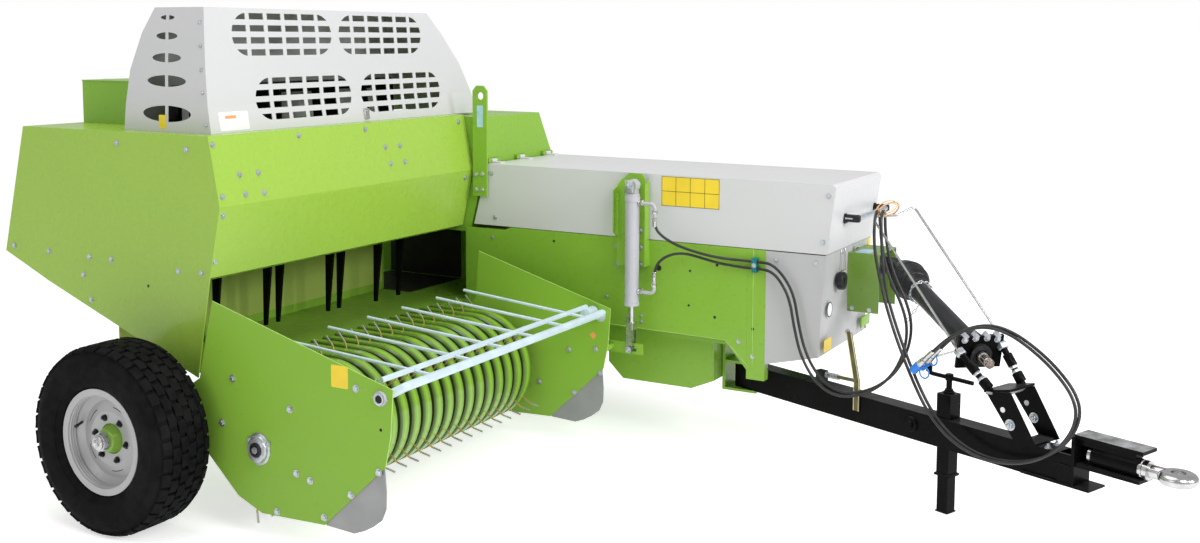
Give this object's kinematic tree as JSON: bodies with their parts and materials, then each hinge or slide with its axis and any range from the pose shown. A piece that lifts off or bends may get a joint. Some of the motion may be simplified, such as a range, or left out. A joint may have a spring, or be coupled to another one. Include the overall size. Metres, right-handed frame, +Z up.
{
  "type": "forage baler",
  "caption": "Towed side-feeding forage baler with a tined pickup reel, slotted feeder cover, bale channel, hinged hood, twine box, offset drawbar and parking jack.",
  "frame": {"origin": "on the ground, under the middle of the machine's length and width", "axes": "+X forward, the way it is towed, +Y to its left, +Z up"},
  "size_m": [5.0925, 3.044, 2.08],
  "materials": {
    "green_paint": "gloss",
    "grey_paint": "satin",
    "black_paint": "gloss",
    "silver_paint": "satin",
    "zinc": "satin",
    "bright_steel": "polished",
    "yellow_zinc": "satin",
    "cast_grey": "matt",
    "rubber": "matt",
    "hose": "satin",
    "guard_plastic": "satin",
    "blue_plastic": "gloss",
    "teal_plastic": "satin"
  },
  "bodies": {
    "frame": {"bale_chamber": "green_paint", "bearing_support": "black_paint", "chassis": "green_paint", "cylinder_bracket": "green_paint", "drawbar": "black_paint", "drawbar_latch": "yellow_zinc", "drive_shaft_guard": "guard_plastic", "feeder_forks": "black_paint", "feeder_housing": "green_paint", "feeder_trough": "green_paint", "front_columns": "green_paint", "front_cover": "grey_paint", "gearbox_and_flywheel": "cast_grey", "hitch_head": "black_paint", "hose_clamp": "teal_plastic", "hose_couplers": "blue_plastic", "hose_holder": "bright_steel", "hose_lower": "hose", "hose_upper": "hose", "jack_tube": "black_paint", "knotter_cover": "green_paint", "knotters": "cast_grey", "lift_barrel": "grey_paint", "lifting_lug": "green_paint", "needle_yoke": "black_paint", "pickup_pivot_tube": "green_paint", "plunger": "cast_grey", "pto_shield": "green_paint", "side_panels": "green_paint", "tension_rails": "zinc", "twine_box": "green_paint"},
    "wheel_right": {"rim_right": "silver_paint", "tyre_right": "rubber"},
    "wheel_left": {"rim_left": "silver_paint", "tyre_left": "rubber"},
    "hood": {"hood": "grey_paint", "hood_handle": "zinc"},
    "feeder_cover": {"slotted_cover": "grey_paint"},
    "twine_lid": {"twine_lid": "green_paint"},
    "pickup": {"pickup_plates": "green_paint", "stripper_bands": "green_paint", "pickup_frame": "green_paint", "skids": "silver_paint"},
    "reel": {"reel": "black_paint", "tines": "yellow_zinc"},
    "windguard": {"windguard": "zinc"},
    "lift_rod": {"lift_rod": "bright_steel"},
    "jack_leg": {"jack_leg": "black_paint"},
    "hitch_eye": {"hitch_eye": "bright_steel"},
    "input_stub": {"input_stub": "bright_steel"}
  },
  "joints": [
    {"name": "wheel_right_spin", "type": "hinge", "parent": "frame", "child": "wheel_right", "pos_m": [-1.245, -1.39, 0.38], "axis": [0, 1, 0], "continuous": true},
    {"name": "wheel_left_spin", "type": "hinge", "parent": "frame", "child": "wheel_left", "pos_m": [-1.245, 1.39, 0.38], "axis": [0, 1, 0], "continuous": true},
    {"name": "hood_hinge", "type": "hinge", "parent": "frame", "child": "hood", "pos_m": [-0.861, 0.955, 1.33], "axis": [0, -1, 0], "range_deg": [0, 70]},
    {"name": "feeder_cover_hinge", "type": "hinge", "parent": "frame", "child": "feeder_cover", "pos_m": [-1.593, -0.21, 1.577], "axis": [0, -1, 0], "range_deg": [0, 30]},
    {"name": "twine_lid_hinge", "type": "hinge", "parent": "frame", "child": "twine_lid", "pos_m": [-2.126, -0.14, 1.752], "axis": [0, -1, 0], "range_deg": [0, 80]},
    {"name": "pickup_lift", "type": "hinge", "parent": "frame", "child": "pickup", "pos_m": [-1.092, -0.39, 0.527], "axis": [0, -1, 0], "range_deg": [-3, 3.5]},
    {"name": "lift_rod_slide", "type": "slide", "parent": "frame", "child": "lift_rod", "axis": [0, 0, 1], "range_m": [-0.0605, 0.0705]},
    {"name": "reel_spin", "type": "hinge", "parent": "pickup", "child": "reel", "pos_m": [-0.68, -0.39, 0.367], "axis": [0, 1, 0], "continuous": true},
    {"name": "windguard_swing", "type": "hinge", "parent": "pickup", "child": "windguard", "pos_m": [-0.079, -0.39, 0.652], "axis": [0, 1, 0], "range_deg": [0, 40]},
    {"name": "jack_slide", "type": "slide", "parent": "frame", "child": "jack_leg", "axis": [0, 0, 1], "range_m": [0, 0.14]},
    {"name": "hitch_eye_swivel", "type": "hinge", "parent": "frame", "child": "hitch_eye", "pos_m": [2.27428, 0.14729, 0.413], "axis": [0.9239, -0.3827, 0], "range_deg": [-90, 90]},
    {"name": "input_stub_spin", "type": "hinge", "parent": "frame", "child": "input_stub", "pos_m": [1.69508, 0.39001, 0.7], "axis": [0.6071, -0.7642, -0.2177], "continuous": true}
  ],
  "couplings": [
    {"joint": "lift_rod_slide", "follows": "pickup_lift", "m_per_rad": 1.1386}
  ]
}
